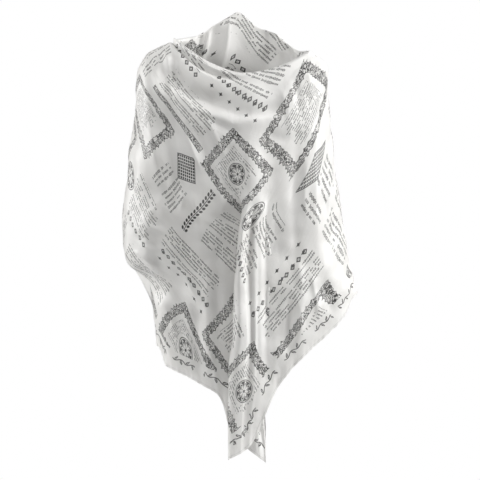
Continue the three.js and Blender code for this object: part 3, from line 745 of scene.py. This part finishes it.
def print_ink(net, u, v, su, sd):
    """Generic block print: rows of small strokes that spell nothing, leafy frames, rosettes, lozenges, sprigs and stars."""
    jv = (v / TILE_V).floor()
    us = u + jv * 67.0
    iu = (us / TILE_U).floor()
    x0, y0 = us - iu * TILE_U - TILE_U / 2, v - jv * TILE_V - TILE_V / 2
    kind = (iu * 3.0 + jv * 5.0 + SHIFT).mod(7.0).floor()
    turn = (iu + jv * 2.0).mod(4.0).floor().eq(1.0)
    x = x0 + turn * (y0 - x0)
    y = y0 + turn * ((x0 * -1.0) - y0)
    fac = (kind + 0.5) / 7.0
    ox, oy, w = net.table(fac, [((r[0] + 100) / 200, (r[1] + 100) / 200, r[2] / 100) for r in TILES])
    h, pitch, head = net.table(fac, [(r[3] / 100, r[4] / 20, r[5]) for r in TILES])
    ox, oy, w, h, pitch = ox * 200.0 - 100.0, oy * 200.0 - 100.0, w * 100.0, h * 100.0, pitch * 20.0
    xt, yt = x - ox, y - oy
    row = (yt / pitch).floor()
    fy = (yt / pitch - row - 0.5).abs()
    tile = iu * 7.3 + jv * 3.1
    # marks: a narrow upright stroke or two in each place, some taller, with gaps between groups
    place = xt / pitch * 2.7
    n = place.floor()
    fx = (place - n - 0.5).abs()
    r = net.white(n + tile * 3.0, row)
    group = net.noise(n * 0.36 + row * 5.7, row * 3.3 + tile) > 0.35
    tall = 0.18 + (r > 0.70) * 0.11
    mark = (fx < 0.37) * (fy < tall) * ((fx < 0.12) * (fy < 0.11) * (r > 0.35)).inv()
    end = net.noise(row * 1.7 + 3.1, tile) * 30.0
    inside = (xt.abs() < w - end * (xt > 0.0)) * (yt.abs() < h)
    para = (pitch < 6.5).max((row + 40.0).mod(6.0) < 4.5)
    ink = mark * group * inside * para
    # heading: a row of lozenge and ring beads above the rows
    bx, by = x.mod(15.0) - 7.5, y - oy - h - 12.0
    e = bx.abs() * 1.35 + by.abs()
    bead = (e < 7.6) * (e > 3.2)
    ink = ink.max(bead.max(e < 1.3) * head * ((x - ox).abs() < w - 6.0))
    # leafy scrollwork for frames and bands
    leaf = net.noise(x0 * 0.15 + 40.0, y0 * 0.15, detail=2.0, distort=2.4) > 0.475
    k1, k2, k3, k4, k5, k6 = (kind.eq(float(i)) for i in range(1, 7))
    framed = k1.max(k6)
    jag = (x0 * 0.27).sin().abs() * 3.4 + (y0 * 0.27).sin().abs() * 3.4 + net.noise(x0 * 0.11, y0 * 0.11) * 5.0
    e_out = (x.abs() - 83.0).max(y.abs() - 76.0) + jag
    e_in = (x.abs() - 56.0).max(y.abs() - 48.5) - jag * 0.7
    ink = ink.max(framed * (e_out < 0.0) * (e_in > -3.0) * leaf.max((e_in < -1.6).max(e_out > -1.3)))
    band = k3 * (x.abs() < 79.0) * ((y - 50.0).abs() < 8.5)
    ink = ink.max(band * leaf.max((y - 50.0).abs() > 7.2))
    # rosette
    rx = x + k2 * 50.0
    rr = (rx * rx + y * y).sqrt() / (28.0 - k6 * 4.0)
    ink = ink * (k6 * (rr < 1.22)).inv()
    c = (net.math("ARCTAN2", y, rx) * 4.0).cos().abs()
    petal = c * 0.48 + 0.32
    rose = (rr < 1.0) * (rr > petal + 0.04) * (rr < 0.87).max(rr > 0.93)
    rose = rose.max((rr < petal - 0.09) * (rr > petal - 0.21)).max(rr < 0.13)
    ink = ink.max(rose * k2.max(k6))
    # lozenge with a lattice
    dx, dy = x + 46.0, y - 26.0
    e2 = dx.abs() + dy.abs()
    lat = (((dx + dy).mod(9.0) - 4.5).abs() < 3.2) * (((dx - dy).mod(9.0) - 4.5).abs() < 3.2)
    ink = ink.max(k4 * (e2 < 38.0) * lat.max(e2 > 35.4))
    # sprig along the foot of one block
    sy = (y + 52.0).abs()
    sx = x.mod(13.0) - 6.5
    lf = net.math("POWER", (sx + sy * 0.6 - 2.0).abs() / 4.6, 2.0) + net.math("POWER", (sy - 5.2).abs() / 3.2, 2.0)
    ink = ink.max(k4 * (x.abs() < 76.0) * (lf < 1.0).max(sy < 0.9))
    # stars
    fx2, fz = x.mod(26.0) - 13.0, (y - 34.0).mod(27.0) - 13.5
    star = (net.math("POWER", fx2.abs(), 0.55) + net.math("POWER", fz.abs(), 0.55)) < 2.95
    ink = ink.max(k5 * star * ((y - 34.0).abs() < 27.0) * (x.abs() < 77.0))
    # along the hem: a leafy vine in place of the blocks
    cell = (su / 96.0).floor()
    f = su - cell * 96.0 - 48.0
    lean = net.white(cell, cell * 1.7 + 3.0)
    part = f.abs() < 30.0 + lean * 14.0
    wav = (su * 0.196).sin() * 2.6
    stem = (sd - wav - 28.0).abs() < 1.1
    lx = su.mod(16.0) - 8.0
    side = ((su / 16.0).floor().mod(2.0) * 2.0 - 1.0)
    ly = (sd - 28.0 - wav) * side
    bend = lx - ly * 0.55
    blade = net.math("POWER", bend.abs() / 3.1, 1.4) + net.math("POWER", (ly - 5.2).abs() / 4.6, 2.0)
    vein = (bend.abs() < 0.45) * (ly < 7.6)
    leaves = (blade < 1.0) * vein.inv()
    vine = stem.max(leaves) * part
    return (ink * (sd > 43.0)).max(vine)


def cloth_material():
    mat = bpy.data.materials.new("printed_satin")
    mat.use_nodes = True
    net = Net(mat)
    bsdf = next(n for n in net.nodes if n.type == "BSDF_PRINCIPLED")
    u, v = uv_mm(net, "cloth")
    su, sd = uv_mm(net, "edge")
    ink = print_ink(net, u, v, su, sd)
    fade = net.noise(u * 0.011, v * 0.011, detail=2.0) * 0.35 + 0.72
    stitch = ((sd - 4.2).abs() < 0.45) * ((su / 1.5).mod(2.0) < 1.3) * 0.34
    ink = net.math("MULTIPLY", ink, fade, clamp=True).max(stitch)
    tone = net.noise(u * 0.006 + 9.0, v * 0.006, detail=3.0)
    base = net.new("ShaderNodeMix", data_type="RGBA")
    base.inputs["A"].default_value = (0.80, 0.79, 0.765, 1)
    base.inputs["B"].default_value = (0.86, 0.855, 0.84, 1)
    net.put(tone, base.inputs["Factor"])
    mix = net.new("ShaderNodeMix", data_type="RGBA")
    net.put(ink, mix.inputs["Factor"])
    net.links.new(base.outputs["Result"], mix.inputs["A"])
    mix.inputs["B"].default_value = (0.028, 0.027, 0.026, 1)
    net.links.new(mix.outputs["Result"], bsdf.inputs["Base Color"])
    bsdf.inputs["Roughness"].default_value = 0.46
    bsdf.inputs["Specular IOR Level"].default_value = 0.42
    bsdf.inputs["Sheen Weight"].default_value = 0.18
    bsdf.inputs["Sheen Roughness"].default_value = 0.4
    # weave, and the fine slack of satin
    weave = (u * 8.4).sin() * (v * 8.4).sin()
    slack = net.noise(u * 0.035, v * 0.035, detail=3.0, distort=0.6)
    b1 = net.new("ShaderNodeBump")
    b1.inputs["Strength"].default_value = 0.5
    b1.inputs["Distance"].default_value = 0.0024
    net.put(slack, b1.inputs["Height"])
    b2 = net.new("ShaderNodeBump")
    b2.inputs["Strength"].default_value = 0.25
    b2.inputs["Distance"].default_value = 0.00006
    net.put(weave, b2.inputs["Height"])
    net.links.new(b1.outputs[0], b2.inputs["Normal"])
    net.links.new(b2.outputs[0], bsdf.inputs["Normal"])
    through = net.new("ShaderNodeBsdfTranslucent")
    net.links.new(mix.outputs["Result"], through.inputs["Color"])
    net.links.new(b2.outputs[0], through.inputs["Normal"])
    both = net.new("ShaderNodeMixShader")
    both.inputs[0].default_value = 0.24
    net.links.new(bsdf.outputs[0], both.inputs[1])
    net.links.new(through.outputs[0], both.inputs[2])
    out = next(n for n in net.nodes if n.type == "OUTPUT_MATERIAL")
    net.links.new(both.outputs[0], out.inputs["Surface"])
    return mat


satin = cloth_material()
for ob in PIECES:
    ob.data.materials.append(satin)

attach(front, "root")
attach(over, "root")
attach(under, "root")
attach(inner, "root")
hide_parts("front_left_panel", "centre_pleat", "front_right_panel", "cowl_fold")
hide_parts("back_over_end", "collar_back")
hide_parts("back_under_end")


# ---- floor, light, camera ------------------------------------------------------------------------------------------
FLOOR_Z = -1.43


def floor_disc(radius=1.5, steps=96):
    me = bpy.data.meshes.new("floor")
    pts = [(radius * math.cos(2 * math.pi * i / steps), radius * math.sin(2 * math.pi * i / steps), FLOOR_Z) for i in range(steps)]
    me.from_pydata(pts, [], [tuple(range(steps))])
    ob = bpy.data.objects.new("floor", me)
    bpy.context.scene.collection.objects.link(ob)
    mat = bpy.data.materials.new("floor")
    mat.use_nodes = True
    b = next(n for n in mat.node_tree.nodes if n.type == "BSDF_PRINCIPLED")
    b.inputs["Base Color"].default_value = (0.85, 0.85, 0.85, 1)
    b.inputs["Roughness"].default_value = 0.9
    me.materials.append(mat)


floor_disc()


def area_light(name, loc, target, size, power, spread=180):
    li = bpy.data.lights.new(name, "AREA")
    li.shape = "SQUARE"
    li.size, li.energy, li.spread = size, power, math.radians(spread)
    ob = bpy.data.objects.new(name, li)
    ob.rotation_mode = "QUATERNION"
    ob.rotation_quaternion = (Vector(target) - Vector(loc)).to_track_quat("-Z", "Y")
    ob.location = loc
    bpy.context.scene.collection.objects.link(ob)


area_light("side_right", (3.15, -0.75, 0.35), (0.05, 0, -0.40), 1.0, 124)
area_light("front_left", (-2.8, -2.1, 1.1), (0.0, 0, -0.38), 1.1, 74)
area_light("front_soft", (0.6, -4.2, 0.5), (0, 0, -0.42), 3.0, 19)
area_light("back_right", (2.0, 3.0, 1.3), (0, 0, -0.38), 1.4, 60)
area_light("back_left", (-3.2, 1.0, 0.4), (0, 0, -0.40), 1.2, 84)
area_light("top_soft", (0.75, -0.7, 2.4), (0, 0, -0.20), 1.0, 40)
# The studio's white surround is only looked at: the soft lights do the lighting.
world = bpy.data.worlds.new("studio")
world.use_nodes = True
bg = next(n for n in world.node_tree.nodes if n.type == "BACKGROUND")
bg.inputs["Color"].default_value = (1, 1, 1, 1)
bg.inputs["Strength"].default_value = 1.0
bpy.context.scene.world = world
world.cycles_visibility.diffuse = False
world.cycles_visibility.glossy = False
bpy.context.scene.view_settings.view_transform = "Standard"

cam_data = bpy.data.cameras.new("camera")
cam = bpy.data.objects.new("camera", cam_data)
bpy.context.scene.collection.objects.link(cam)
bpy.context.scene.camera = cam
DISTANCE, TILT, MM_PER_PIXEL, PIXELS = 10.0, math.radians(2), 2.35, 480
cam.location = (0.0141, -0.1 - DISTANCE * math.cos(TILT), -0.4465 + DISTANCE * math.sin(TILT))
cam.rotation_euler = (math.pi / 2 - TILT, 0, 0)
cam_data.sensor_width = 36
cam_data.lens = 36 * DISTANCE / (MM_PER_PIXEL * PIXELS / 1000)
